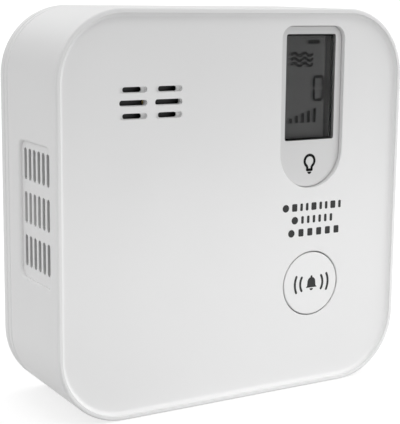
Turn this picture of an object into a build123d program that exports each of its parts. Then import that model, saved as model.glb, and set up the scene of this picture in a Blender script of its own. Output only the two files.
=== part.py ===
from build123d import *
import math
import os

# Carbon monoxide detector: a square battery alarm with a display, a test button and a wall plate.
# Millimetres. The front faces -Y, +X is to the right and +Z is up. The origin is the centre of the
# underside. Depths are counted backwards from the plane of the front rim.

# ---------------------------------------------------------------- overall size
WIDTH = 100.0
HEIGHT = 100.0
DEPTH = 35.0
CORNER_RADIUS = 17.5
WALL = 2.2                     # how far in the rear cover's lip fits
CAVITY_INSET = 2.0             # thickness of the front housing's side walls
FRONT_Y = -DEPTH / 2
MID_Z = HEIGHT / 2

# ---------------------------------------------------------------- stack, as depths behind the front rim
FACE = 1.1                     # the recessed front face
FACE_BACK = 3.2
BOARD_FRONT = 9.0
BOARD_BACK = 10.6
BAY_FLOOR = 14.4
BAY_INSIDE = 15.8
LIP_FRONT = 28.3
COVER_FRONT = 30.3             # seam between the front housing and the rear cover
COVER_BACK = 32.4
PLATE_FRONT = 32.5             # seam between the rear cover and the wall plate
RIM_EDGE_RADIUS = 0.6          # outer edge of the rim
RIM_FLAT = 1.15                # width of the rim's flat front
RIM_COVE_RADIUS = 1.05         # hollow curve from the rim down to the face
SEAM_CHAMFER = 0.3

# ---------------------------------------------------------------- front features, x and z of their centres
SOUNDER_X, SOUNDER_Z = -25.05, 77.65
SLOT_LENGTH, SLOT_HEIGHT = 7.4, 1.5
SLOT_PITCH_X, SLOT_PITCH_Z = 9.5, 3.15
SLOT_STEP = 0.85               # depth at which each slot narrows to its throat
THROAT_DEPTH = 0.45            # from there to where it widens again inside
THROAT_HEIGHT = 1.25
THROAT_LENGTHS = [5.0, 7.1, 5.0]           # of the lower, middle and upper rows

CAPSULE_X = 21.95
CAPSULE_WIDTH = 19.45
CAPSULE_TOP_Z = 95.6
CAPSULE_BOTTOM_Z = 53.6
CAPSULE_TOP_RADIUS = 3.2
BEZEL_FRONT = 2.3
BEZEL_BACK = 3.5
BEZEL_GAP = 0.1
WINDOW_WIDTH, WINDOW_HEIGHT = 15.3, 27.3
WINDOW_Z = 79.8
GLASS_FRONT = 4.8              # front of the display glass
GLASS_BACK = 6.6
STATUS_Z = 59.7

BUTTON_X, BUTTON_Z = 22.7, 27.85
BUTTON_HOLE_RADIUS = 8.72
BUTTON_RADIUS = 8.4
BUTTON_TRAVEL = 0.8

VENT_FRONT, VENT_BACK = 4.3, 23.2          # recessed panel on each side wall, as depths
VENT_LOW_Z, VENT_HIGH_Z = 33.7, 67.5
VENT_RECESS = 0.9
VENT_RELIEF = 0.45             # hollow behind the panel, which thins it
VENT_COLUMNS, VENT_ROWS = 6, 3
VENT_FIRST_DEPTH = 7.1
VENT_PITCH_DEPTH = 2.78
VENT_TOP_Z = 65.9
VENT_PITCH_Z = 10.8
VENT_SLOT_HEIGHT, VENT_SLOT_WIDTH = 7.9, 1.65
VENT_CORNER_RADIUS = 2.2
VENT_EDGE_RADIUS = 0.8

# ---------------------------------------------------------------- fixings
HOUSING_SCREWS = [(x, z) for x in (-40.0, 40.0) for z in (10.0, 90.0)]
BOSS_RADIUS = 3.5
POST_RADIUS = 4.2
POST_FRONT = 24.0
SCREW_SEAT = 27.0
SCREW_SHANK_RADIUS = 1.4
SCREW_HEAD_RADIUS = 2.8
BOARD_SCREWS = [(x, z) for x in (-42.0, 42.0) for z in (26.0, 74.0)]
BOARD_SCREW_SHANK_RADIUS = 1.0

# ---------------------------------------------------------------- battery bay, door and cells
CELL_RADIUS = 7.1
CELL_BODY = 49.2
CELL_NUB = 1.3
CELL_NUB_RADIUS = 2.6
CELL_PITCH = 15.2
CELL_DEPTH = 22.95             # depth of the cells' axes
BAY_HALF_WIDTH = 29.6
BAY_LOW_Z, BAY_HIGH_Z = 27.0, 73.0
BAY_WALL = 1.5
CONTACT = 0.4                  # thickness of the contact strips
DOOR_THICKNESS = 2.0
DOOR_BACK = 32.3
DOOR_HALF_WIDTH = 31.2
DOOR_OPENING_HALF_WIDTH = 31.5
DOOR_TOP_Z = 74.5
DOOR_OPENING_LOW_Z, DOOR_OPENING_HIGH_Z = 25.3, 74.9
HINGE_DEPTH = DOOR_BACK - DOOR_THICKNESS / 2
HINGE_Z = 26.5
HINGE_PIP_RADIUS = 0.7
HINGE_HOLE_RADIUS = 0.75
HINGE_PIP_LENGTH = 1.4

# ---------------------------------------------------------------- wall plate
PLATE_WINDOW_HALF_WIDTH = 34.0
PLATE_WINDOW_LOW_Z, PLATE_WINDOW_HIGH_Z = 23.0, 79.5
WALL_HOLES = [(-30.0, 89.5), (30.0, 89.5)]
WALL_HOLE_RADIUS = 2.25
HOOKS = [(x, z) for x in (-41.0, 41.0) for z in (34.0, 66.0)]
HOOK_WIDTH = 4.0
HOOK_STEM = 2.0
HOOK_REACH = 3.0               # how far a hook stands up behind the rear cover
HOOK_CLEARANCE = 0.4
HOOK_TRAVEL = 3.5


# ---------------------------------------------------------------- helpers
def slab(outline, near, far):
    """The solid of a front-view outline (drawn in x and z) between two depths."""
    plane = Plane(origin=(0, FRONT_Y + far, 0), x_dir=(1, 0, 0), z_dir=(0, -1, 0))
    return extrude(plane * outline, amount=far - near)


def housing_outline(inset):
    """The rounded square of the housing, made smaller by inset all round."""
    square = RectangleRounded(WIDTH - 2 * inset, HEIGHT - 2 * inset, CORNER_RADIUS - inset)
    return Pos(0, MID_Z) * square


def box_outline(left, right, low, high, radius=0.0):
    """A rectangle between two x and two z values."""
    width, height = right - left, high - low
    shape = RectangleRounded(width, height, radius) if radius else Rectangle(width, height)
    return Pos((left + right) / 2, (low + high) / 2) * shape


def disc(x, z, radius, near, far):
    """A round bar along the depth."""
    return slab(Pos(x, z) * Circle(radius), near, far)


def edges_at_depth(solid, depth):
    """Edges that lie wholly in the plane at one depth."""
    y = FRONT_Y + depth
    return solid.edges().filter_by_position(Axis.Y, y - 1e-3, y + 1e-3)


def capsule_outline(inset):
    """The display opening: square-shouldered at the top and half round at the bottom."""
    half = CAPSULE_WIDTH / 2 - inset
    low_centre = CAPSULE_BOTTOM_Z + CAPSULE_WIDTH / 2
    top = CAPSULE_TOP_Z - inset
    top_radius = CAPSULE_TOP_RADIUS - inset
    upper = box_outline(CAPSULE_X - half, CAPSULE_X + half, low_centre - top_radius, top, top_radius)
    return upper + Pos(CAPSULE_X, low_centre) * Circle(half)


# ---------------------------------------------------------------- front housing
def vent_cut(side):
    """The recessed panel and its slots on one side wall; side is -1 on the left and 1 on the right."""
    wall_plane = Plane(origin=(side * WIDTH / 2, 0, 0), x_dir=(0, 1, 0), z_dir=(1, 0, 0))
    panel_y = FRONT_Y + (VENT_FRONT + VENT_BACK) / 2
    panel_z = (VENT_LOW_Z + VENT_HIGH_Z) / 2
    panel = RectangleRounded(VENT_BACK - VENT_FRONT, VENT_HIGH_Z - VENT_LOW_Z, VENT_CORNER_RADIUS)
    cut = extrude(wall_plane * Pos(panel_y, panel_z) * panel, amount=VENT_RECESS, both=True)
    slot = RectangleRounded(VENT_SLOT_WIDTH, VENT_SLOT_HEIGHT, VENT_SLOT_WIDTH * 0.48)
    for column in range(VENT_COLUMNS):
        for row in range(VENT_ROWS):
            y = FRONT_Y + VENT_FIRST_DEPTH + column * VENT_PITCH_DEPTH
            z = VENT_TOP_Z - VENT_SLOT_HEIGHT / 2 - row * VENT_PITCH_Z
            cut += extrude(wall_plane * Pos(y, z) * slot, amount=WALL + 1, both=True)
    relief_x = side * (WIDTH / 2 - CAVITY_INSET + VENT_RELIEF)
    relief_plane = Plane(origin=(relief_x, 0, 0), x_dir=(0, 1, 0), z_dir=(1, 0, 0))
    relief = Rectangle(VENT_BACK - VENT_FRONT - 2, VENT_HIGH_Z - VENT_LOW_Z - 2)
    return cut + extrude(relief_plane * Pos(panel_y, panel_z) * relief, amount=-side * (VENT_RELIEF + 0.5))


def vent_panel_edges(shell, side):
    """The outline of the recessed vent panel on one side wall's outer face."""
    wall_x = side * WIDTH / 2
    edges = shell.edges().filter_by_position(Axis.X, wall_x - 1e-3, wall_x + 1e-3)
    boxes = [(e, e.bounding_box()) for e in edges]
    return [e for e, box in boxes if box.min.Z > VENT_LOW_Z - 0.1 and box.max.Z < VENT_HIGH_Z + 0.1]


def round_ended(x, z, length, height):
    """A slot outline with round ends, lying along X."""
    return Pos(x, z) * RectangleRounded(length, height, height * 0.48)


def sounder_cut():
    """Two columns of slots, each narrowing halfway through the face to a thin-edged throat."""
    slots = []
    for column in (-0.5, 0.5):
        x = SOUNDER_X + column * SLOT_PITCH_X
        for row, throat in enumerate(THROAT_LENGTHS):
            z = SOUNDER_Z + (row - 1) * SLOT_PITCH_Z
            slots.append(slab(round_ended(x, z, SLOT_LENGTH, SLOT_HEIGHT), FACE - 0.1, FACE + SLOT_STEP))
            slots.append(slab(round_ended(x, z, throat, THROAT_HEIGHT), FACE, FACE_BACK + 0.1))
            inside = round_ended(x, z, SLOT_LENGTH, SLOT_HEIGHT + 0.4)
            slots.append(slab(inside, FACE + SLOT_STEP + THROAT_DEPTH, FACE_BACK + 0.1))
    return Compound(children=slots)


def front_housing():
    """The deep front shell with its raised rim, face, vents, screw bosses and board posts."""
    shell = slab(housing_outline(0), 0, COVER_FRONT)
    shell = fillet(edges_at_depth(shell, 0), RIM_EDGE_RADIUS)
    shell = chamfer(edges_at_depth(shell, COVER_FRONT), SEAM_CHAMFER)
    pocket = slab(housing_outline(RIM_FLAT), -0.5, FACE)
    shell -= fillet(edges_at_depth(pocket, FACE), RIM_COVE_RADIUS)
    shell -= slab(housing_outline(CAVITY_INSET), FACE_BACK, COVER_FRONT + 1)
    face_holes = slab(capsule_outline(0), FACE - 0.1, FACE_BACK + 0.1)
    face_holes += disc(BUTTON_X, BUTTON_Z, BUTTON_HOLE_RADIUS, FACE - 0.1, FACE_BACK + 0.1)
    shell -= face_holes
    hole_edges = [e for e in edges_at_depth(shell, FACE) if e.center().X > 5]
    shell = fillet(hole_edges, 0.18)
    shell -= sounder_cut()
    for side in (-1, 1):
        shell -= vent_cut(side)
        shell = fillet(vent_panel_edges(shell, side), VENT_EDGE_RADIUS)
    for x, z in HOUSING_SCREWS:
        shell += disc(x, z, BOSS_RADIUS, FACE_BACK - 0.1, POST_FRONT - 0.1)
        shell -= disc(x, z, SCREW_SHANK_RADIUS + 0.05, 14.0, POST_FRONT)
    for x, z in BOARD_SCREWS:
        shell += disc(x, z, 2.8, FACE_BACK - 0.1, BOARD_FRONT)
        shell -= disc(x, z, BOARD_SCREW_SHANK_RADIUS + 0.05, 4.4, BOARD_FRONT + 0.1)
    return shell


# ---------------------------------------------------------------- display
def display_bezel():
    """The white capsule with the display window, held by a flange behind the face."""
    plug = slab(capsule_outline(BEZEL_GAP), BEZEL_FRONT, BEZEL_BACK)
    plug = fillet(edges_at_depth(plug, BEZEL_FRONT), 0.25)
    flange = slab(capsule_outline(-1.2), FACE_BACK, FACE_BACK + 1.0)
    bezel = plug + flange
    half_width = WINDOW_WIDTH / 2 + 0.05
    half_height = WINDOW_HEIGHT / 2 + 0.05
    left, right = CAPSULE_X - half_width, CAPSULE_X + half_width
    window = box_outline(left, right, WINDOW_Z - half_height, WINDOW_Z + half_height, 0.65)
    bezel -= slab(window, BEZEL_FRONT - 0.1, FACE_BACK + 1.1)
    bezel -= disc(CAPSULE_X, STATUS_Z, 3.0, BEZEL_BACK, FACE_BACK + 1.1)
    return bezel


def lcd_window():
    """The clear lens that fills the bezel's window."""
    left = CAPSULE_X - WINDOW_WIDTH / 2
    low = WINDOW_Z - WINDOW_HEIGHT / 2
    outline = box_outline(left, left + WINDOW_WIDTH, low, low + WINDOW_HEIGHT, 0.6)
    return slab(outline, BEZEL_FRONT + 0.05, BEZEL_BACK + 0.05)


def lcd_holder():
    """The black frame that stands on the board and holds the display glass."""
    outer = box_outline(CAPSULE_X - 10.2, CAPSULE_X + 10.2, WINDOW_Z - 17, WINDOW_Z + 15.4, 1)
    mouth = box_outline(CAPSULE_X - 7.75, CAPSULE_X + 7.75, WINDOW_Z - 13.75, WINDOW_Z + 13.75, 0.4)
    seat = box_outline(CAPSULE_X - 9.1, CAPSULE_X + 9.1, WINDOW_Z - 15.6, WINDOW_Z + 14.5)
    frame = slab(outer, FACE_BACK + 1.05, BOARD_FRONT)
    frame -= slab(mouth, FACE_BACK, GLASS_FRONT + 0.1)
    return frame - slab(seat, GLASS_FRONT, BOARD_FRONT + 0.1)


def lcd_panel():
    """The liquid crystal glass: a front plate with a contact ledge and a shorter rear plate."""
    rear = box_outline(CAPSULE_X - 9, CAPSULE_X + 9, WINDOW_Z - 12.3, WINDOW_Z + 14.4)
    front = box_outline(CAPSULE_X - 9, CAPSULE_X + 9, WINDOW_Z - 15.5, WINDOW_Z + 14.4)
    middle = (GLASS_FRONT + GLASS_BACK) / 2
    return slab(front, GLASS_FRONT, middle) + slab(rear, middle, GLASS_BACK)


def lcd_support_pad():
    """The foam pad that backs the display glass."""
    outline = box_outline(CAPSULE_X - 7.5, CAPSULE_X + 7.5, WINDOW_Z - 11, WINDOW_Z + 13)
    return slab(outline, GLASS_BACK, BOARD_FRONT)


def lcd_connector_strip():
    """The striped rubber connector between the glass and the board."""
    outline = box_outline(CAPSULE_X - 8, CAPSULE_X + 8, WINDOW_Z - 15, WINDOW_Z - 12.6)
    return slab(outline, (GLASS_FRONT + GLASS_BACK) / 2, BOARD_FRONT)


def light_guide():
    """The clear rod that carries the status light to the bezel."""
    rod = disc(CAPSULE_X, STATUS_Z, 2.0, BEZEL_BACK, 7.0)
    return rod + disc(CAPSULE_X, STATUS_Z, 2.9, BEZEL_BACK, BEZEL_BACK + 0.7)


def status_led():
    """The surface-mounted three-colour light under the guide."""
    outline = box_outline(CAPSULE_X - 1.75, CAPSULE_X + 1.75, STATUS_Z - 1.4, STATUS_Z + 1.4)
    base = slab(outline, 7.9, BOARD_FRONT)
    return base + disc(CAPSULE_X, STATUS_Z, 1.2, 7.3, 7.9)


# ---------------------------------------------------------------- test button
def test_button():
    """The round cap, its skirt and keeper flange, and the stem that meets the switch."""
    cap = disc(BUTTON_X, BUTTON_Z, BUTTON_RADIUS, FACE, 3.6)
    cap = fillet(edges_at_depth(cap, FACE), 0.25)
    cap += disc(BUTTON_X, BUTTON_Z, BUTTON_RADIUS + 1.0, 3.6, 4.4)
    cap -= disc(BUTTON_X, BUTTON_Z, BUTTON_RADIUS - 1.4, 2.6, 4.5)
    return cap + disc(BUTTON_X, BUTTON_Z, 2.2, 2.5, 4.0)


def test_switch_body():
    """The square switch on the board, bored for its plunger."""
    outline = box_outline(BUTTON_X - 3, BUTTON_X + 3, BUTTON_Z - 3, BUTTON_Z + 3, 0.5)
    body = slab(outline, 5.6, BOARD_FRONT)
    return body - disc(BUTTON_X, BUTTON_Z, 1.8, 5.5, 7.6)


def test_switch_plunger():
    """The switch's round plunger, pressed by the button's stem."""
    return disc(BUTTON_X, BUTTON_Z, 1.75, 4.0, 6.6)


# ---------------------------------------------------------------- circuit board and what it carries
def circuit_board():
    """The board, clear of the housing's bosses and drilled for its screws."""
    board = slab(housing_outline(3.2), BOARD_FRONT, BOARD_BACK)
    for x, z in HOUSING_SCREWS:
        board -= disc(x, z, BOSS_RADIUS + 1.5, BOARD_FRONT - 1, BOARD_BACK + 1)
    for x, z in BOARD_SCREWS:
        board -= disc(x, z, BOARD_SCREW_SHANK_RADIUS + 0.15, BOARD_FRONT - 1, BOARD_BACK + 1)
    return board


def circuit_board_screws():
    """Four small pan-head screws from behind the board."""
    screws = []
    for x, z in BOARD_SCREWS:
        shank = disc(x, z, BOARD_SCREW_SHANK_RADIUS, 4.8, BOARD_BACK)
        head = disc(x, z, 2.0, BOARD_BACK, BOARD_BACK + 1.4)
        head = fillet(edges_at_depth(head, BOARD_BACK + 1.4), 0.5)
        slot = box_outline(x - 1.4, x + 1.4, z - 0.25, z + 0.25)
        cross = box_outline(x - 0.25, x + 0.25, z - 1.4, z + 1.4)
        drive = slab(slot, BOARD_BACK + 0.7, BOARD_BACK + 2) + slab(cross, BOARD_BACK + 0.7, BOARD_BACK + 2)
        screws.append(shank + head - drive)
    return Compound(children=screws)


def microcontroller():
    """The flat square chip with a row of leads on each side."""
    x, z, half = -18.0, 46.0, 5.0
    chip = slab(box_outline(x - half, x + half, z - half, z + half), 7.4, 8.8)
    for index in range(11):
        step = (index - 5) * 0.8
        chip += slab(box_outline(x - half - 1, x + half + 1, z + step - 0.15, z + step + 0.15), 8.7, 9.0)
        chip += slab(box_outline(x + step - 0.15, x + step + 0.15, z - half - 1, z + half + 1), 8.7, 9.0)
    return chip


def inductor():
    """The drum coil that drives the sounder."""
    x, z = -34.0, 34.0
    coil = disc(x, z, 4.0, 4.0, 4.9) + disc(x, z, 3.1, 4.9, 8.1)
    return coil + disc(x, z, 4.0, 8.1, BOARD_FRONT)


def capacitor():
    """The round reservoir capacitor on the front of the board."""
    x, z = -8.0, 27.0
    can = disc(x, z, 3.15, 3.9, 8.0)
    can = fillet(edges_at_depth(can, 3.9), 0.5)
    return can + slab(box_outline(x - 3.3, x + 3.3, z - 3.3, z + 3.3), 8.0, BOARD_FRONT)


def small_components():
    """The small surface-mounted resistors and capacitors, in short rows."""
    rows = [(-34.0, 56.0, 4), (-6.0, 54.0, 5), (-6.0, 38.0, 4), (2.0, 68.0, 3), (14.0, 44.0, 4)]
    pieces = []
    for first_x, z, count in rows:
        for index in range(count):
            x = first_x + index * 3.0
            pieces.append(slab(box_outline(x - 0.6, x + 0.6, z - 1.0, z + 1.0), 8.3, BOARD_FRONT))
    return Compound(children=pieces)


# ---------------------------------------------------------------- sounder
DIAPHRAGM_FRONT = 5.3


def sounder_gasket():
    """The foam ring that seals the sounder to the back of the face."""
    ring = disc(SOUNDER_X, SOUNDER_Z, 13.0, FACE_BACK, 3.9)
    return ring - disc(SOUNDER_X, SOUNDER_Z, 10.5, FACE_BACK - 0.1, 4.0)


def sounder_housing():
    """The black resonator cup: a small sound hole in front and a seat for the disc behind."""
    cup = disc(SOUNDER_X, SOUNDER_Z, 13.0, 3.9, BOARD_FRONT)
    cup -= disc(SOUNDER_X, SOUNDER_Z, 1.2, 3.8, 5.0)
    cup -= disc(SOUNDER_X, SOUNDER_Z, 10.0, 4.6, 6.0)
    return cup - disc(SOUNDER_X, SOUNDER_Z, 11.6, DIAPHRAGM_FRONT, BOARD_FRONT + 0.1)


def sounder_diaphragm():
    """The brass sounding disc, glued to its seat by the edge, with its thin ceramic layer."""
    brass = disc(SOUNDER_X, SOUNDER_Z, 11.5, DIAPHRAGM_FRONT, DIAPHRAGM_FRONT + 0.25)
    return brass + disc(SOUNDER_X, SOUNDER_Z, 8.0, DIAPHRAGM_FRONT + 0.25, DIAPHRAGM_FRONT + 0.5)


# ---------------------------------------------------------------- gas sensor
SENSOR_X, SENSOR_Z = -39.4, 50.0


def co_sensor_body():
    """The round electrochemical cell on the back of the board."""
    body = disc(SENSOR_X, SENSOR_Z, 7.2, BOARD_BACK + 0.6, 23.4)
    for angle in (90, 210, 330):
        x = SENSOR_X + 4.5 * math.cos(math.radians(angle))
        z = SENSOR_Z + 4.5 * math.sin(math.radians(angle))
        body += disc(x, z, 0.5, BOARD_BACK, BOARD_BACK + 0.7)
    return body


def co_sensor_cap():
    """The metal cap with the gas inlet holes."""
    cap = disc(SENSOR_X, SENSOR_Z, 7.2, 23.4, 24.6)
    cap = fillet(edges_at_depth(cap, 24.6), 0.4)
    for index in range(6):
        x = SENSOR_X + 2.6 * math.cos(index * math.pi / 3)
        z = SENSOR_Z + 2.6 * math.sin(index * math.pi / 3)
        cap -= disc(x, z, 0.6, 23.3, 24.7)
    return cap


# ---------------------------------------------------------------- rear cover
def rear_cover():
    """The back of the housing: band, lip, battery bay, screw posts, hinge ears and hook slots."""
    cover = slab(housing_outline(0), COVER_FRONT, COVER_BACK)
    cover = chamfer(edges_at_depth(cover, COVER_FRONT) + edges_at_depth(cover, COVER_BACK), SEAM_CHAMFER)
    lip = slab(housing_outline(WALL - 0.05), LIP_FRONT, COVER_FRONT + 0.1)
    cover += lip - slab(housing_outline(WALL + 1.4), LIP_FRONT - 1, COVER_FRONT)
    outer = BAY_HALF_WIDTH + BAY_WALL
    bay_outline = box_outline(-outer, outer, BAY_LOW_Z - BAY_WALL, BAY_HIGH_Z + BAY_WALL, 1)
    cover += slab(bay_outline, BAY_FLOOR, COVER_FRONT + 0.1)
    half = DOOR_OPENING_HALF_WIDTH
    opening = box_outline(-half, half, DOOR_OPENING_LOW_Z, DOOR_OPENING_HIGH_Z)
    cover += slab(offset(opening, 2.0), COVER_FRONT - 1.8, COVER_FRONT + 0.1)
    cover -= slab(opening, COVER_FRONT - 0.2, COVER_BACK + 1)
    inside = box_outline(-BAY_HALF_WIDTH, BAY_HALF_WIDTH, BAY_LOW_Z, BAY_HIGH_Z)
    cover -= slab(inside, BAY_INSIDE, COVER_BACK)
    for row in (-0.5, 0.5):
        z = MID_Z + row * CELL_PITCH
        rib = box_outline(-22, 22, z - 0.4, z + 0.4)
        cover += slab(rib, BAY_INSIDE - 0.1, BAY_INSIDE + 2.4)
    for side in (-1, 1):
        cover += hinge_ear(side)
        cover -= hinge_hole(side)
        cover -= terminal_slot(side)
    for x, z in HOUSING_SCREWS:
        cover += disc(x, z, POST_RADIUS, POST_FRONT, COVER_FRONT + 0.1)
        cover -= disc(x, z, SCREW_SHANK_RADIUS + 0.2, POST_FRONT - 1, SCREW_SEAT + 0.1)
        cover -= disc(x, z, SCREW_HEAD_RADIUS + 0.3, SCREW_SEAT, COVER_BACK + 1)
    for x, z in HOOKS:
        low = z - HOOK_TRAVEL - HOOK_CLEARANCE
        high = z + HOOK_STEM + HOOK_CLEARANCE
        half = HOOK_WIDTH / 2 + HOOK_CLEARANCE
        cover -= slab(box_outline(x - half, x + half, low, high, 0.5), COVER_FRONT - 1, COVER_BACK + 1)
    return cover


def hinge_ear(side):
    """The block beside the door opening that carries one hinge hole."""
    near, far = sorted((side * (DOOR_OPENING_HALF_WIDTH - 0.3), side * 34.0))
    ear = slab(box_outline(near, far, HINGE_Z - 2.2, HINGE_Z + 2.2), COVER_FRONT - 1.6, COVER_BACK - 0.3)
    gap = box_outline(-DOOR_OPENING_HALF_WIDTH, DOOR_OPENING_HALF_WIDTH, HINGE_Z - 3, HINGE_Z + 3)
    return ear - slab(gap, COVER_FRONT - 0.2, COVER_BACK)


def hinge_bar(side, radius, inner, outer):
    """A round bar on the door's hinge line, between two distances from the centre."""
    length = outer - inner
    bar = Cylinder(radius, length, rotation=(0, 90, 0))
    return Pos(side * (inner + outer) / 2, FRONT_Y + HINGE_DEPTH, HINGE_Z) * bar


def hinge_hole(side):
    return hinge_bar(side, HINGE_HOLE_RADIUS, DOOR_OPENING_HALF_WIDTH - 0.5, 33.2)


def terminal_slot(side):
    """The slot in the bay floor where a battery terminal passes to the board."""
    inner, outer = sorted((side * (BAY_HALF_WIDTH - CONTACT - 0.1), side * BAY_HALF_WIDTH))
    z = MID_Z + side * CELL_PITCH
    return slab(box_outline(inner, outer, z - 1.7, z + 1.7), BAY_FLOOR - 1, BAY_INSIDE + 1)


def housing_screws():
    """Four self-tapping screws that close the housing from behind."""
    screws = []
    for x, z in HOUSING_SCREWS:
        shank = disc(x, z, SCREW_SHANK_RADIUS, SCREW_SEAT - 10, SCREW_SEAT)
        head = disc(x, z, SCREW_HEAD_RADIUS, SCREW_SEAT, SCREW_SEAT + 1.9)
        head = fillet(edges_at_depth(head, SCREW_SEAT + 1.9), 0.7)
        slot = box_outline(x - 1.8, x + 1.8, z - 0.35, z + 0.35)
        cross = box_outline(x - 0.35, x + 0.35, z - 1.8, z + 1.8)
        drive = slab(slot, SCREW_SEAT + 0.8, SCREW_SEAT + 3) + slab(cross, SCREW_SEAT + 0.8, SCREW_SEAT + 3)
        screws.append(shank + head - drive)
    return Compound(children=screws)


# ---------------------------------------------------------------- battery door
def battery_door():
    """The flat door with a rounded hinge edge, hinge pips, a latch tongue and a finger grip."""
    front = DOOR_BACK - DOOR_THICKNESS
    low = HINGE_Z
    door = slab(box_outline(-DOOR_HALF_WIDTH, DOOR_HALF_WIDTH, low, DOOR_TOP_Z), front, DOOR_BACK)
    top_edges = door.edges().filter_by_position(Axis.Z, DOOR_TOP_Z - 0.01, DOOR_TOP_Z + 0.01)
    door = chamfer(top_edges, 0.3)
    for side in (-1, 1):
        door += hinge_bar(side, DOOR_THICKNESS / 2, 0, DOOR_HALF_WIDTH)
        door += hinge_bar(side, HINGE_PIP_RADIUS, DOOR_HALF_WIDTH - 0.2, DOOR_HALF_WIDTH + HINGE_PIP_LENGTH)
    door += slab(box_outline(-6, 6, 71.3, 72.5), front - 2.0, front + 0.1)
    grip = box_outline(-8, 8, 64.5, 70.5, 2.9)
    door -= slab(grip, DOOR_BACK - 0.7, DOOR_BACK + 1)
    for index in range(4):
        z = 65.5 + index * 1.3
        door += slab(box_outline(-5, 5, z - 0.25, z + 0.25), DOOR_BACK - 0.8, DOOR_BACK - 0.2)
    return door


# ---------------------------------------------------------------- cells and contacts
def cell_rows():
    """Name, height and direction of the positive end of each cell, from the bottom up."""
    return [("lower", MID_Z - CELL_PITCH, 1), ("middle", MID_Z, -1), ("upper", MID_Z + CELL_PITCH, 1)]


def lengthwise_bar(radius, start_x, end_x, z):
    """A round bar along X on a cell's axis."""
    bar = Cylinder(radius, abs(end_x - start_x), rotation=(0, 90, 0))
    return Pos((start_x + end_x) / 2, FRONT_Y + CELL_DEPTH, z) * bar


def battery_cell(z, positive):
    """One AA cell; its nub touches the flat contact at the positive end."""
    tip = positive * (BAY_HALF_WIDTH - CONTACT)
    shoulder = tip - positive * CELL_NUB
    base = shoulder - positive * CELL_BODY
    can = lengthwise_bar(CELL_RADIUS, base, shoulder, z)
    ends = can.edges().filter_by(GeomType.CIRCLE)
    can = fillet(ends, 0.5)
    return can + lengthwise_bar(CELL_NUB_RADIUS, shoulder - positive * 0.2, tip, z)


def battery_spring(z, positive):
    """The conical coil spring at one cell's negative end."""
    wall_x = -positive * (BAY_HALF_WIDTH - CONTACT)
    length = 2 * (BAY_HALF_WIDTH - CONTACT) - CELL_BODY - CELL_NUB
    wire = 0.35
    turns = 4
    rise = length - 2 * wire - 0.02
    coil = Helix(pitch=rise / turns, height=rise, radius=5.0, cone_angle=-12)
    section = Plane(origin=coil @ 0, z_dir=coil % 0) * Circle(wire)
    spring = sweep(section, path=coil, is_frenet=True)
    turned = Rot(0, 90 * positive, 0) * spring
    return Pos(wall_x + positive * (wire + 0.01), FRONT_Y + CELL_DEPTH, z) * turned


def contact_strip(side, low_z, high_z):
    """A flat plated strip against one end wall of the bay."""
    inner, outer = sorted((side * (BAY_HALF_WIDTH - CONTACT), side * BAY_HALF_WIDTH))
    return slab(box_outline(inner, outer, low_z, high_z), CELL_DEPTH - 5.5, CELL_DEPTH + 5.5)


def battery_link(side):
    """The strip that joins two neighbouring cells: low on the right, high on the left."""
    low = MID_Z - CELL_PITCH if side > 0 else MID_Z
    return contact_strip(side, low - 5.5, low + CELL_PITCH + 5.5)


def battery_terminal(side):
    """The single contact at one end of the series, with its tail down to the board."""
    z = MID_Z + side * CELL_PITCH
    inner, outer = sorted((side * (BAY_HALF_WIDTH - CONTACT), side * BAY_HALF_WIDTH))
    tail = slab(box_outline(inner, outer, z - 1.5, z + 1.5), BOARD_BACK, CELL_DEPTH)
    return contact_strip(side, z - 5.5, z + 5.5) + tail


# ---------------------------------------------------------------- wall plate
def mounting_plate():
    """The wall plate: a frame around the battery door with two screw holes and four hooks."""
    plate = slab(housing_outline(0), PLATE_FRONT, DEPTH)
    plate = chamfer(edges_at_depth(plate, PLATE_FRONT), SEAM_CHAMFER)
    plate = fillet(edges_at_depth(plate, DEPTH), 0.4)
    window = box_outline(-PLATE_WINDOW_HALF_WIDTH, PLATE_WINDOW_HALF_WIDTH,
                         PLATE_WINDOW_LOW_Z, PLATE_WINDOW_HIGH_Z, 4)
    plate -= slab(window, PLATE_FRONT - 1, DEPTH + 1)
    for x, z in WALL_HOLES:
        plate -= disc(x, z, WALL_HOLE_RADIUS, PLATE_FRONT - 1, DEPTH + 1)
        plate -= disc(x, z, 4.6, PLATE_FRONT - 1, PLATE_FRONT + 1.3)
    for x, z in HOOKS:
        half = HOOK_WIDTH / 2
        foot_back = COVER_FRONT - HOOK_CLEARANCE
        plate += slab(box_outline(x - half, x + half, z, z + HOOK_STEM), foot_back - 0.1, PLATE_FRONT + 0.1)
        foot = box_outline(x - half, x + half, z, z + HOOK_STEM + HOOK_REACH)
        plate += slab(foot, foot_back - 1.5, foot_back)
    return plate


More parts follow.
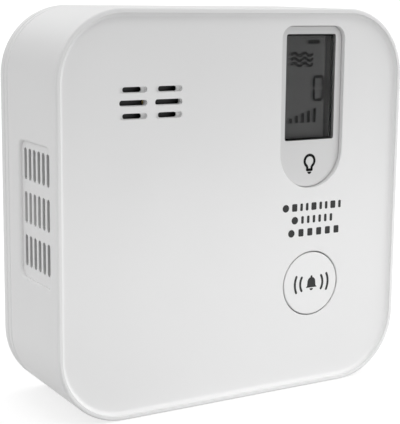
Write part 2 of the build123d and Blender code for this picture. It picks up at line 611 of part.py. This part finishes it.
# ---------------------------------------------------------------- all nodes
def all_nodes():
    nodes = {
        "front_housing": front_housing(),
        "display_bezel": display_bezel(),
        "lcd_window": lcd_window(),
        "lcd_holder": lcd_holder(),
        "lcd_panel": lcd_panel(),
        "lcd_support_pad": lcd_support_pad(),
        "lcd_connector_strip": lcd_connector_strip(),
        "light_guide": light_guide(),
        "status_led": status_led(),
        "test_button": test_button(),
        "test_switch_body": test_switch_body(),
        "test_switch_plunger": test_switch_plunger(),
        "circuit_board": circuit_board(),
        "circuit_board_screws": circuit_board_screws(),
        "microcontroller": microcontroller(),
        "inductor": inductor(),
        "capacitor": capacitor(),
        "small_components": small_components(),
        "sounder_gasket": sounder_gasket(),
        "sounder_housing": sounder_housing(),
        "sounder_diaphragm": sounder_diaphragm(),
        "co_sensor_body": co_sensor_body(),
        "co_sensor_cap": co_sensor_cap(),
        "rear_cover": rear_cover(),
        "housing_screws": housing_screws(),
        "battery_door": battery_door(),
        "battery_link_left": battery_link(-1),
        "battery_link_right": battery_link(1),
        "negative_terminal": battery_terminal(-1),
        "positive_terminal": battery_terminal(1),
        "mounting_plate": mounting_plate(),
    }
    for name, z, positive in cell_rows():
        nodes["battery_cell_" + name] = battery_cell(z, positive)
        nodes["battery_spring_" + name] = battery_spring(z, positive)
    return nodes


os.makedirs("parts", exist_ok=True)
for node_name, shape in all_nodes().items():
    export_step(shape, "parts/" + node_name + ".step")
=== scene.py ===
"""Looks of the carbon monoxide detector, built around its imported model.

Metres. The front faces -Y, +X is to the right and +Z is up. MM turns millimetres into metres.
"""

import math

import bmesh
import bpy
from mathutils import Matrix, Vector


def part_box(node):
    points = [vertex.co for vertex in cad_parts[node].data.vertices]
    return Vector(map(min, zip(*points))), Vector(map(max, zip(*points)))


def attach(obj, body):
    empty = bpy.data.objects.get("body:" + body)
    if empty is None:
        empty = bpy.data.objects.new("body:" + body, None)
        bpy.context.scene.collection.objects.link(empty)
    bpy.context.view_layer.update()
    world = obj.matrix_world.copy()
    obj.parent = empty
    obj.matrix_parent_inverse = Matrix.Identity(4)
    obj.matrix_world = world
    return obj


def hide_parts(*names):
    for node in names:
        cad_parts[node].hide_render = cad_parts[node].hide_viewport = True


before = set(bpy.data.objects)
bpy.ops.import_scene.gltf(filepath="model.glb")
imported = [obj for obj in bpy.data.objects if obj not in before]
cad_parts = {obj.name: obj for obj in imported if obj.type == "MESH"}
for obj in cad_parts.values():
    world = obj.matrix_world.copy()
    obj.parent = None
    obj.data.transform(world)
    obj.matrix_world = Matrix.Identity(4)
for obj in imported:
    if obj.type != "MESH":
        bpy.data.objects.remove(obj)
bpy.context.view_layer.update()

MM = 0.001

# ---------------------------------------------------------------- places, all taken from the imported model
CAP_LOW, CAP_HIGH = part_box("test_button")
LENS_LOW, LENS_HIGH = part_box("lcd_window")
GUIDE_LOW, GUIDE_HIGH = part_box("light_guide")
BEZEL_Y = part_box("display_bezel")[0].y
GLASS_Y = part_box("lcd_panel")[0].y
FACE_Y = CAP_LOW.y             # the button's front is level with the face
BUTTON_X = (CAP_LOW.x + CAP_HIGH.x) / 2
BUTTON_Z = (CAP_LOW.z + CAP_HIGH.z) / 2
LENS_X = (LENS_LOW.x + LENS_HIGH.x) / 2
LENS_Z = (LENS_LOW.z + LENS_HIGH.z) / 2

INK = 0.03 * MM                # layer spacing of printed ink
INK_FILM = 0.027 * MM          # its thickness, a little less so that stacked layers never touch
WAVE_PERIOD = math.pi / 10     # width of one stripe pair of a wave texture whose scale is 1
ROWS = ("lower", "middle", "upper")

# Marks, in millimetres about their own centres
LENS_LINE = 0.42               # width of the black line printed round the lens
PAINTED_SHADOW_SHIFT = 0.7              # how far each display mark's painted shadow sits beside it, to its left
PAINTED_SHADE_BAND = 1.7                 # width of a band of painted shade between the display's film and the lens's right edge, where the dark glass shows
BULB_LINE = 0.72
BELL_LINE = 0.65
WAVE_LINE = 0.74
LEGEND_PITCH = 3.3
LEGEND_HALF_HEIGHT = 1.0       # also the radius of each row's dot
LEGEND_WIDE, LEGEND_NARROW = 1.6, 0.8


# ---------------------------------------------------------------- small node helpers
def new_material(name):
    """A node material with its Principled shader."""
    material = bpy.data.materials.new(name)
    material.use_nodes = True
    return material, material.node_tree, material.node_tree.nodes["Principled BSDF"]


def add_node(tree, kind, **settings):
    """A new node; settings name its inputs or its own properties."""
    node = tree.nodes.new(kind)
    for key, value in settings.items():
        if key in node.inputs:
            node.inputs[key].default_value = value
        else:
            setattr(node, key, value)
    return node


def grain(tree, scale, detail=3.0):
    """A noise texture in the object's own metres."""
    where = add_node(tree, "ShaderNodeTexCoord")
    noise = add_node(tree, "ShaderNodeTexNoise", Scale=scale, Detail=detail)
    tree.links.new(where.outputs["Object"], noise.inputs["Vector"])
    return noise


def two_tone(tree, factor, dark, light, low=0.35, high=0.65):
    """A colour ramp between two colours."""
    ramp = add_node(tree, "ShaderNodeValToRGB")
    ramp.color_ramp.elements[0].position = low
    ramp.color_ramp.elements[0].color = (*dark, 1)
    ramp.color_ramp.elements[1].position = high
    ramp.color_ramp.elements[1].color = (*light, 1)
    tree.links.new(factor, ramp.inputs["Fac"])
    return ramp.outputs["Color"]


def spread(tree, factor, low, high):
    """Maps 0..1 to a range of values."""
    mapped = add_node(tree, "ShaderNodeMapRange")
    mapped.inputs["To Min"].default_value = low
    mapped.inputs["To Max"].default_value = high
    tree.links.new(factor, mapped.inputs["Value"])
    return mapped.outputs["Result"]


def add_bump(tree, shader, height, strength, distance):
    """Raises the surface where a texture is light."""
    bump = add_node(tree, "ShaderNodeBump", Strength=strength, Distance=distance)
    tree.links.new(height, bump.inputs["Height"])
    tree.links.new(bump.outputs["Normal"], shader.inputs["Normal"])


def uneven_gloss(tree, shader, factor, low, high):
    """Roughness that follows a texture."""
    tree.links.new(spread(tree, factor, low, high), shader.inputs["Roughness"])


def moulded_plastic(name, colour, roughness=0.42, texture=0.12, variation=0.015,
                    grain_size=0.35 * MM, shine=0.5):
    """Moulded plastic: a fine spark-eroded grain, slight flow marks and uneven gloss."""
    material, tree, shader = new_material(name)
    flow = grain(tree, 18.0, 2.0)
    dark = tuple(c * (1 - variation) for c in colour)
    light = tuple(min(1.0, c * (1 + variation)) for c in colour)
    tree.links.new(two_tone(tree, flow.outputs["Fac"], dark, light), shader.inputs["Base Color"])
    fine = grain(tree, 1 / grain_size, 2.0)
    uneven_gloss(tree, shader, fine.outputs["Fac"], roughness - 0.05, roughness + 0.05)
    add_bump(tree, shader, fine.outputs["Fac"], texture, 0.02 * MM)
    shader.inputs["IOR"].default_value = 1.46
    shader.inputs["Specular IOR Level"].default_value = shine
    return material


def striped(name, dark, light, spacing, direction, roughness):
    """Even stripes across one of the object's axes, as in layered rubber."""
    material, tree, shader = new_material(name)
    where = add_node(tree, "ShaderNodeTexCoord")
    wave = add_node(tree, "ShaderNodeTexWave", Scale=WAVE_PERIOD / spacing, Distortion=0.0)
    wave.bands_direction = direction
    tree.links.new(where.outputs["Object"], wave.inputs["Vector"])
    stripes = two_tone(tree, wave.outputs["Fac"], dark, light, 0.4, 0.6)
    tree.links.new(stripes, shader.inputs["Base Color"])
    fine = grain(tree, 2500.0, 2.0)
    uneven_gloss(tree, shader, fine.outputs["Fac"], roughness - 0.06, roughness + 0.06)
    add_bump(tree, shader, wave.outputs["Fac"], 0.15, 0.02 * MM)
    return material


def solder_mask(name):
    """Green lacquer over copper tracks, which show as slightly lighter, raised, angular patches."""
    material, tree, shader = new_material(name)
    where = add_node(tree, "ShaderNodeTexCoord")
    tracks = add_node(tree, "ShaderNodeTexVoronoi", Scale=260.0)
    tracks.distance = "CHEBYCHEV"
    tree.links.new(where.outputs["Object"], tracks.inputs["Vector"])
    bare, over_copper = (0.006, 0.07, 0.025), (0.012, 0.14, 0.05)
    green = two_tone(tree, tracks.outputs["Distance"], bare, over_copper, 0.45, 0.5)
    tree.links.new(green, shader.inputs["Base Color"])
    fine = grain(tree, 1500.0, 2.0)
    uneven_gloss(tree, shader, fine.outputs["Fac"], 0.2, 0.3)
    add_bump(tree, shader, tracks.outputs["Distance"], 0.2, 0.03 * MM)
    return material


def metal(name, colour, roughness=0.3, brushed=(1.0, 1.0, 30.0)):
    """Plated or rolled metal with fine directional marks."""
    material, tree, shader = new_material(name)
    where = add_node(tree, "ShaderNodeTexCoord")
    stretch = add_node(tree, "ShaderNodeMapping")
    stretch.inputs["Scale"].default_value = brushed
    tree.links.new(where.outputs["Object"], stretch.inputs["Vector"])
    noise = add_node(tree, "ShaderNodeTexNoise", Scale=900.0, Detail=4.0)
    tree.links.new(stretch.outputs["Vector"], noise.inputs["Vector"])
    dark = tuple(c * 0.85 for c in colour)
    tree.links.new(two_tone(tree, noise.outputs["Fac"], dark, colour), shader.inputs["Base Color"])
    uneven_gloss(tree, shader, noise.outputs["Fac"], roughness - 0.08, roughness + 0.1)
    add_bump(tree, shader, noise.outputs["Fac"], 0.08, 0.01 * MM)
    shader.inputs["Metallic"].default_value = 1.0
    return material


def clear_plastic(name, colour, roughness, refraction=1.49):
    """Clear moulded acrylic; a low refraction stands for an anti-glare coat."""
    material, tree, shader = new_material(name)
    haze = grain(tree, 300.0, 2.0)
    uneven_gloss(tree, shader, haze.outputs["Fac"], roughness * 0.7, roughness * 1.3)
    light = tuple(min(1.0, c * 1.02) for c in colour)
    tree.links.new(two_tone(tree, haze.outputs["Fac"], colour, light), shader.inputs["Base Color"])
    shader.inputs["Transmission Weight"].default_value = 1.0
    shader.inputs["IOR"].default_value = refraction
    return material


def ink(name, colour):
    """Matt printed ink with a slightly uneven film."""
    return moulded_plastic(name, colour, roughness=0.55, texture=0.05, variation=0.06,
                           grain_size=0.2 * MM, shine=0.1)


# ---------------------------------------------------------------- mesh helpers
def mesh_object(name, build, material, smooth_angle=35):
    """An object whose mesh is filled by build(bmesh)."""
    mesh = bpy.data.meshes.new(name)
    work = bmesh.new()
    build(work)
    bmesh.ops.remove_doubles(work, verts=work.verts, dist=1e-7)
    bmesh.ops.recalc_face_normals(work, faces=work.faces)
    work.to_mesh(mesh)
    work.free()
    mesh.materials.append(material)
    piece = bpy.data.objects.new(name, mesh)
    bpy.context.scene.collection.objects.link(piece)
    mesh.shade_smooth()
    mesh.set_sharp_from_angle(angle=math.radians(smooth_angle))
    return piece


def flat_prism(work, outline, y, thickness):
    """A closed thin prism from an outline of (x, z) points; its front face is at y."""
    front = [work.verts.new((x, y, z)) for x, z in outline]
    back = [work.verts.new((x, y + thickness, z)) for x, z in outline]
    work.faces.new(front)
    work.faces.new(list(reversed(back)))
    count = len(outline)
    for i in range(count):
        j = (i + 1) % count
        work.faces.new((front[j], front[i], back[i], back[j]))


def ring_prism(work, outer, inner, y, thickness, centre):
    """A closed flat ring between two outlines that have equally many points."""
    loops = []
    for outline, depth in ((outer, y), (inner, y), (inner, y + thickness), (outer, y + thickness)):
        placed = [(centre[0] + x * MM, centre[1] + z * MM) for x, z in outline]
        loops.append([work.verts.new((x, depth, z)) for x, z in placed])
    count = len(outer)
    for first, second in zip(loops, loops[1:] + loops[:1]):
        for i in range(count):
            j = (i + 1) % count
            work.faces.new((first[i], first[j], second[j], second[i]))


def arc_points(cx, cz, radius, start, end, steps=24):
    """Points of an arc, in degrees."""
    turn = [math.radians(start + (end - start) * i / steps) for i in range(steps + 1)]
    return [(cx + radius * math.cos(a), cz + radius * math.sin(a)) for a in turn]


def circle_outline(cx, cz, radius, steps=40):
    """A full circle."""
    return arc_points(cx, cz, radius, 0, 360 - 360 / steps, steps - 1)


def bar_outline(left, right, low, high, radius):
    """A rounded rectangle."""
    outline = []
    corners = ((right, high, 0), (left, high, 90), (left, low, 180), (right, low, 270))
    for x, z, start in corners:
        inner_x = x - radius if x == right else x + radius
        inner_z = z - radius if z == high else z + radius
        outline += arc_points(inner_x, inner_z, radius, start, start + 90, 6)
    return outline


def stroke_outline(points, width):
    """The outline of a line of constant width through the points, with round ends."""
    half = width / 2
    left, right = [], []
    for i, (x, z) in enumerate(points):
        ax, az = points[max(i - 1, 0)]
        bx, bz = points[min(i + 1, len(points) - 1)]
        length = math.hypot(bx - ax, bz - az)
        nx, nz = -(bz - az) / length, (bx - ax) / length
        left.append((x + nx * half, z + nz * half))
        right.append((x - nx * half, z - nz * half))
    first = math.degrees(math.atan2(left[0][1] - points[0][1], left[0][0] - points[0][0]))
    last = math.degrees(math.atan2(right[-1][1] - points[-1][1], right[-1][0] - points[-1][0]))
    end_cap = arc_points(*points[-1], half, last + 180, last, 8)[1:-1]
    start_cap = arc_points(*points[0], half, first + 180, first, 8)[1:-1]
    return left + end_cap + list(reversed(right)) + start_cap


def turned_bar(work, profile, centre, steps=48):
    """A closed solid turned about a line along X; the profile is a list of (x, radius)."""
    cx, cy, cz = centre
    rings = []
    for x, radius in profile:
        ring = []
        for i in range(steps):
            angle = 2 * math.pi * i / steps
            y, z = cy + radius * math.cos(angle), cz + radius * math.sin(angle)
            ring.append(work.verts.new((cx + x, y, z)))
        rings.append(ring)
    for first, second in zip(rings, rings[1:]):
        for i in range(steps):
            j = (i + 1) % steps
            work.faces.new((first[i], first[j], second[j], second[i]))
    work.faces.new(list(reversed(rings[0])))
    work.faces.new(rings[-1])


def printed(name, outlines, y, material, body, centre):
    """Ink marks, drawn in millimetres about a centre, a hair proud of a surface that faces the front."""
    def build(work):
        for outline in outlines:
            placed = [(centre[0] + x * MM, centre[1] + z * MM) for x, z in outline]
            flat_prism(work, placed, y - INK, INK_FILM)
    piece = mesh_object(name, build, material)
    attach(piece, body)


# ---------------------------------------------------------------- camera, lights and floor
CAMERA_PLACE = (-0.15579, -0.26678, 0.10411)
CAMERA_TURN, CAMERA_DIP, CAMERA_ROLL = -31.44, 9.86, 0.82      # degrees
SURROUND = 0.406               # strength with which the surround lights the object


def make_camera():
    """A long lens from the front left, a little above the object's top."""
    data = bpy.data.cameras.new("camera")
    camera = bpy.data.objects.new("camera", data)
    bpy.context.scene.collection.objects.link(camera)
    turn = Matrix.Rotation(math.radians(CAMERA_TURN), 3, "Z")
    tilt = Matrix.Rotation(math.radians(90 - CAMERA_DIP), 3, "X")
    roll = Matrix.Rotation(math.radians(CAMERA_ROLL), 3, "Z")
    camera.matrix_world = Matrix.Translation(CAMERA_PLACE) @ (turn @ tilt @ roll).to_4x4()
    data.sensor_width = 36.0
    data.lens = 100.67
    data.shift_x = -0.0708
    data.shift_y = -0.0355
    data.clip_start = 0.01
    data.clip_end = 100
    bpy.context.scene.camera = camera


def light_object(name, kind, place, toward):
    """A light that shines from place towards a point."""
    data = bpy.data.lights.new(name, kind)
    light = bpy.data.objects.new(name, data)
    light.location = place
    light.rotation_euler = (Vector(toward) - Vector(place)).to_track_quat("-Z", "Y").to_euler()
    bpy.context.scene.collection.objects.link(light)
    return light


def far_softbox(name, azimuth, elevation, width, strength):
    """A distant soft box; azimuth turns from the front towards +X, and width is how wide it looks.

    Angles are in degrees.
    """
    turn, lift = math.radians(azimuth), math.radians(elevation)
    place = (math.sin(turn) * math.cos(lift), -math.cos(turn) * math.cos(lift), math.sin(lift))
    light = light_object(name, "SUN", place, (0, 0, 0))
    light.data.energy = strength
    light.data.angle = math.radians(width)


def make_floor():
    """A wide pale floor, lit softly from within so that shadows on it stay faint."""
    material, tree, shader = new_material("floor_paper")
    fibres = grain(tree, 40.0, 4.0)
    paper = two_tone(tree, fibres.outputs["Fac"], (0.44,) * 3, (0.46,) * 3)
    tree.links.new(paper, shader.inputs["Base Color"])
    shader.inputs["Roughness"].default_value = 0.9
    shader.inputs["Specular IOR Level"].default_value = 0.1
    shader.inputs["Emission Color"].default_value = (1, 1, 1, 1)
    shader.inputs["Emission Strength"].default_value = 0.62

    def disc(work):
        bmesh.ops.create_circle(work, cap_ends=True, radius=40.0, segments=64)
    floor = mesh_object("floor", disc, material)
    floor.visible_diffuse = False


def make_surround():
    """An even surround: white where the camera sees it, dimmer in the light that it gives."""
    world = bpy.data.worlds.new("studio")
    world.use_nodes = True
    tree = world.node_tree
    background = tree.nodes["Background"]
    background.inputs["Color"].default_value = (1, 1, 1, 1)
    ray = add_node(tree, "ShaderNodeLightPath")
    strength = spread(tree, ray.outputs["Is Camera Ray"], SURROUND, 1.0)
    tree.links.new(strength, background.inputs["Strength"])
    bpy.context.scene.world = world


def make_lights():
    """Distant soft boxes and three small cards low round the object."""
    far_softbox("key_box", 53, 56, 8, 0.2)
    far_softbox("front_box", 0, 55, 25, 0.44)
    far_softbox("left_box", -90, 30, 60, 0.82)
    far_softbox("right_box", 90, 25, 60, 1.74)
    far_softbox("back_box", 180, 50, 60, 0.7)
    near_card("low_card", (0.03, -0.12, 0.013), (0.03, 0, 0.013), (0.2, 0.02), 0.0466)
    near_card("left_card", (-0.15, 0.0, 0.012), (-0.05, 0.0, 0.012), (0.08, 0.02), 0.0085)
    near_card("right_card", (0.25, -0.20, 0.06), (0.03, -0.0175, 0.03), (0.15, 0.1), 0.116)
    bpy.context.scene.view_settings.view_transform = "Standard"


def near_card(name, place, toward, size, watts):
    """A small glowing card that the camera doesn't see."""
    card = light_object(name, "AREA", place, toward)
    card.data.shape = "RECTANGLE"
    card.data.size, card.data.size_y = size
    card.data.energy = watts
    card.visible_camera = False


# ---------------------------------------------------------------- printed marks
def make_bulb_mark(material):
    """An outlined bulb with its base and tip, over the status light."""
    x = (GUIDE_LOW.x + GUIDE_HIGH.x) / 2 + 0.3 * MM
    z = (GUIDE_LOW.z + GUIDE_HIGH.z) / 2
    neck, neck_top, neck_foot = 0.7, -0.8, -1.5
    globe = arc_points(0, 0.85, 1.55, -52, 232, 40)
    outline = [(-neck, neck_foot), (-neck, neck_top)] + list(reversed(globe))
    outline += [(neck, neck_top), (neck, neck_foot)]
    foot = stroke_outline([(-neck, neck_foot), (neck, neck_foot)], BULB_LINE)
    tip = arc_points(0, neck_foot - 0.5, 0.62, 180, 360, 12)
    marks = [stroke_outline(outline, BULB_LINE), foot, tip]
    printed("bulb_mark", marks, BEZEL_Y, material, "housing", (x, z))


def make_legend(material):
    """Three rows that show how the status lamp pulses: a lamp dot and a run of bars.

    Each row has its width, how far it is lifted and shifted, and its bars' widths.
    """
    tall = LEGEND_HALF_HEIGHT
    wide, narrow = LEGEND_WIDE, LEGEND_NARROW
    rows = [
        (18.6, 0.45, -0.1, [wide, narrow, narrow, wide, narrow, narrow, wide, narrow]),
        (13.0, 0.35, 0.0, [narrow] * 6),
        (16.2, 0.25, 0.6, [wide] * 5),
    ]
    top_z = BUTTON_Z + 20.35 * MM
    for index, (width, lift, shift, bars) in enumerate(rows):
        gap = (width - 2 * tall - sum(bars)) / len(bars)
        x = -width / 2
        marks = [circle_outline(x + tall, 0, tall)]
        x += 2 * tall
        for bar in bars:
            x += gap
            marks.append(bar_outline(x, x + bar, -tall, tall, 0.3))
            x += bar
        place = (BUTTON_X + shift * MM, top_z + (lift - index * LEGEND_PITCH) * MM)
        printed("legend_row_%d" % (index + 1), marks, FACE_Y, material, "housing", place)


def make_button_mark(material):
    """A bell between sound arcs, on the test button."""
    skirt = [(1.25, 0.3), (1.35, -0.65), (1.75, -1.15)]
    dome = [(-x, z) for x, z in reversed(skirt)]
    dome += arc_points(0, 0.4, 1.25, 175, 5, 16) + skirt
    clapper = arc_points(0, -1.4, 0.55, 180, 360, 12)
    knob = circle_outline(0, 1.8, 0.33, 16)
    marks = [list(reversed(dome)), clapper, knob]
    for side in (0, 180):
        for radius, half_turn in ((3.6, 30), (5.3, 24)):
            sound = arc_points(0, 0, radius, side - half_turn, side + half_turn, 14)
            marks.append(stroke_outline(sound, BELL_LINE))
    place = (BUTTON_X + 0.3 * MM, BUTTON_Z)
    printed("test_mark", marks, FACE_Y, material, "button", place)


# ---------------------------------------------------------------- display
def seven_segment(width, height, bar, lit):
    """The lit segments of one digit, as outlines about its centre; lit holds letters a to g."""
    w, h = width / 2 - bar / 2, height / 2 - bar / 2
    gap = bar * 0.6
    ends = {
        "a": ((-w + gap, h), (w - gap, h)),
        "b": ((w, gap), (w, h - gap)),
        "c": ((w, -h + gap), (w, -gap)),
        "d": ((-w + gap, -h), (w - gap, -h)),
        "e": ((-w, -h + gap), (-w, -gap)),
        "f": ((-w, gap), (-w, h - gap)),
        "g": ((-w + gap, 0), (w - gap, 0)),
    }
    return [segment(*ends[letter], bar) for letter in lit]


def segment(start, end, bar):
    """A straight display segment with pointed ends."""
    (ax, az), (bx, bz) = start, end
    length = math.hypot(bx - ax, bz - az)
    ux, uz = (bx - ax) / length, (bz - az) / length
    half = bar / 2
    nx, nz = -uz * half, ux * half
    tip_a, tip_b = (ax - ux * half, az - uz * half), (bx + ux * half, bz + uz * half)
    return [tip_a, (ax - nx, az - nz), (bx - nx, bz - nz), tip_b, (bx + nx, bz + nz), (ax + nx, az + nz)]


def wave_marks():
    """Three wavy lines above each other, for gas in the air."""
    left, length, top, pitch, swell, points = -4.5, 6.4, 8.4, 1.3, 0.4, 30
    waves = []
    for row in range(3):
        line = []
        for i in range(points + 1):
            z = top - row * pitch + swell * math.sin(4 * math.pi * i / points)
            line.append((left + length * i / points, z))
        waves.append(stroke_outline(line, WAVE_LINE))
    return waves


def rising_bars():
    """Five bars, each taller than the last, for the level of gas."""
    left, pitch, width, foot, first_height, rise = -5.0, 1.9, 0.95, -9.4, 1.3, 0.6
    bars = []
    for index in range(5):
        x = left + index * pitch
        bars.append(bar_outline(x, x + width, foot, foot + first_height + index * rise, 0.12))
    return bars


def cell_sign():
    """A small battery sign: a bar with its nub on the right."""
    left, right, nub, low, high = 0.5, 3.9, 4.3, 11.0, 12.1
    nub_low, nub_high = low + 0.3, high - 0.3
    return [
        (left, low), (right, low), (right, nub_low), (nub, nub_low),
        (nub, nub_high), (right, nub_high), (right, high), (left, high),
    ]


def make_display(film, lit, shadow_ink, border):
    """The display's film, which stops short of the lens's right edge so that the bare dark glass shows as a
    band of painted shade, its digit and simple marks, each with a painted shadow beside it, and the black
    line printed behind the lens.
    """
    middle = (LENS_X, LENS_Z)
    half_width = (LENS_HIGH.x - LENS_LOW.x) / 2 / MM
    half_height = (LENS_HIGH.z - LENS_LOW.z) / 2 / MM
    # The film stops short on the right: the bare dark glass there is painted shade, a dark band for the
    # shadow on the display's right side.
    film_edge = half_width - PAINTED_SHADE_BAND
    film_outline = bar_outline(-half_width + 0.1, film_edge, -half_height, half_height, 0.2)
    printed("display_film", [film_outline], GLASS_Y, film, "housing", middle)
    digit_x, digit_z = 4.1, -0.5
    digit = seven_segment(3.7, 6.9, 0.8, "abcdef")
    digit = [[(x + digit_x, z + digit_z) for x, z in outline] for outline in digit]
    all_marks = (
        ("digit", digit),
        ("gas_waves", wave_marks()),
        ("level_bars", rising_bars()),
        ("cell_mark", [cell_sign()]),
    )
    for name, marks in all_marks:
        # Each mark gets a painted shadow: a mid-grey copy shifted to the left, printed just behind the
        # mark.
        painted_shadows = [[(x - PAINTED_SHADOW_SHIFT, z) for x, z in outline] for outline in marks]
        place = GLASS_Y - INK
        printed("display_%s_shadow" % name, painted_shadows, place, shadow_ink, "housing", middle)
        printed("display_" + name, marks, place - INK, lit, "housing", middle)
    outer_x, outer_z = half_width - 0.02, half_height - 0.02
    outer = bar_outline(-outer_x, outer_x, -outer_z, outer_z, 0.6)
    inner_x, inner_z = half_width - LENS_LINE, half_height - LENS_LINE
    inner = bar_outline(-inner_x, inner_x, -inner_z, inner_z, 0.35)

    def build(work):
        ring_prism(work, outer, inner, LENS_HIGH.y, INK, middle)
    ring = mesh_object("lens_border", build, border)
    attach(ring, "housing")


# ---------------------------------------------------------------- battery cells
def make_cell(row, positive, steel, sleeve, band, washer):
    """A round cell: a steel can in a two-colour film sleeve, with its nub and insulating washer.

    positive is the direction of the nub along X, 1 or -1.
    """
    low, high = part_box("battery_cell_" + row)
    centre = ((low.x + high.x) / 2, (low.y + high.y) / 2, (low.z + high.z) / 2)
    half = (high.x - low.x) / 2 / MM
    radius = (high.z - low.z) / 2 / MM
    nub_length, nub_radius = 1.3, 2.6
    sleeve_thickness, light_length = 0.12, 13.0
    shoulder, base = half - nub_length, -half

    def turned(name, profile, material):
        placed = [(positive * x * MM, r * MM) for x, r in profile]
        piece = mesh_object(name, lambda work: turned_bar(work, placed, centre), material)
        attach(piece, "housing")
        return piece

    inner = radius - sleeve_thickness
    can = [
        (base, 4.6), (base + 0.05, 4.8), (base + 0.25, 5.1), (base + 0.3, 6.0), (base + 0.12, 6.4),
        (base + 0.2, inner - 0.2), (base + 0.6, inner),
        (shoulder - 1.0, inner), (shoulder - 0.5, inner - 0.3), (shoulder - 0.35, inner - 0.9),
        (shoulder - 0.6, inner - 1.4), (shoulder - 0.5, nub_radius + 0.5),
        (shoulder - 0.2, nub_radius + 0.1), (half - 0.3, nub_radius), (half - 0.08, nub_radius - 0.1),
        (half, nub_radius - 0.4),
    ]
    piece = turned("cell_can_" + row, can, steel)
    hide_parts("battery_cell_" + row)
    split = shoulder - light_length
    dark_part = [
        (base + 0.12, radius - 0.9), (base + 0.2, radius - 0.2), (base + 0.5, radius),
        (split, radius), (split, radius - 0.5),
    ]
    turned("cell_sleeve_" + row, dark_part, sleeve)
    light_part = [
        (split, radius - 0.5), (split, radius), (shoulder - 0.5, radius),
        (shoulder - 0.15, radius - 0.2), (shoulder - 0.1, radius - 1.0),
    ]
    turned("cell_band_" + row, light_part, band)
    ring = [
        (shoulder - 0.45, nub_radius + 0.7), (shoulder - 0.12, nub_radius + 0.9),
        (shoulder - 0.12, radius - 1.6), (shoulder - 0.45, radius - 1.4),
    ]
    turned("cell_washer_" + row, ring, washer)


def make_cells(steel):
    """Three cells, with the nub of the middle one facing the other way."""
    sleeve = moulded_plastic("cell_sleeve", (0.03, 0.06, 0.1), 0.22, texture=0.02, variation=0.05)
    band = moulded_plastic("cell_band", (0.62, 0.64, 0.66), 0.25, texture=0.02, variation=0.03)
    washer = moulded_plastic("cell_washer", (0.75, 0.74, 0.7), 0.6)
    for row, positive in zip(ROWS, (1, -1, 1)):
        make_cell(row, positive, steel, sleeve, band, washer)


# ---------------------------------------------------------------- materials of the carried-over nodes
def dress(names, material):
    """Gives CAD nodes their material."""
    for name in names:
        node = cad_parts[name]
        node.data.materials.clear()
        node.data.materials.append(material)


def dress_outside():
    """The mouldings and the lens that show from outside."""
    housing = moulded_plastic("housing_plastic", (0.8, 0.8, 0.8))
    dress(["front_housing", "rear_cover", "mounting_plate", "battery_door"], housing)
    bezel = moulded_plastic("bezel_plastic", (0.64, 0.64, 0.64), roughness=0.3, texture=0.05)
    dress(["display_bezel"], bezel)
    dress(["test_button"], moulded_plastic("button_plastic", (0.81, 0.81, 0.81), roughness=0.38))
    dress(["lcd_window"], clear_plastic("lens_acrylic", (0.8, 0.8, 0.8), 0.03, 1.15))


def dress_inside():
    """The display, lamp, switch, board, sounder and gas sensor."""
    dress(["light_guide"], clear_plastic("guide_acrylic", (0.95, 0.95, 0.95), 0.08))
    # Near-black display glass. Where the film leaves it bare on the right, it shows as painted shade.
    dress(["lcd_panel"], ink("lcd_dark_glass_and_painted_shade", (0.008,) * 3))
    black = moulded_plastic("black_plastic", (0.012,) * 3)
    dress(["lcd_holder", "sounder_housing", "test_switch_body"], black)
    foam = moulded_plastic("foam", (0.03,) * 3, roughness=0.85, texture=0.6, variation=0.2,
                           grain_size=0.5 * MM)
    dress(["lcd_support_pad", "sounder_gasket"], foam)
    rubber = striped("strip_rubber", (0.04,) * 3, (0.55, 0.3, 0.33), 0.4 * MM, "X", 0.6)
    dress(["lcd_connector_strip"], rubber)
    resin = moulded_plastic("led_resin", (0.85, 0.85, 0.8), roughness=0.15, texture=0.02)
    dress(["status_led"], resin)
    dress(["test_switch_plunger"], moulded_plastic("plunger_plastic", (0.7, 0.7, 0.68), 0.4))
    dress(["circuit_board"], solder_mask("solder_mask"))
    dress(["microcontroller", "inductor"], moulded_plastic("chip_epoxy", (0.02,) * 3, 0.5))
    ceramic = moulded_plastic("chip_ceramic", (0.35, 0.25, 0.16), 0.4, texture=0.1, variation=0.2)
    dress(["small_components"], ceramic)
    dress(["co_sensor_body"], moulded_plastic("sensor_plastic", (0.75, 0.75, 0.72), 0.4))
    steel = metal("plated_steel", (0.62, 0.62, 0.6))
    dress(["co_sensor_cap", "housing_screws", "circuit_board_screws", "capacitor"], steel)
    dress(["sounder_diaphragm"], metal("brass_sheet", (0.7, 0.5, 0.2)))


def dress_power():
    """The contacts, springs and cells."""
    nickel = metal("nickel_strip", (0.68, 0.66, 0.6), 0.25)
    dress(["battery_spring_" + row for row in ROWS], nickel)
    dress(["battery_link_left", "battery_link_right", "negative_terminal", "positive_terminal"], nickel)
    make_cells(nickel)


make_camera()
make_floor()
make_surround()
make_lights()
dress_outside()
dress_inside()
dress_power()
dark_ink = ink("dark_ink", (0.045,) * 3)
black_ink = ink("black_ink", (0.008,) * 3)
make_bulb_mark(black_ink)
make_legend(dark_ink)
make_button_mark(dark_ink)
make_display(
    moulded_plastic("display_film", (0.1,) * 3, roughness=0.45, texture=0.02, shine=0.1),
    ink("display_dark", (0.01,) * 3),
    # painted shadow beside each display mark
    ink("display_painted_shadow", (0.07,) * 3),
    black_ink,
)
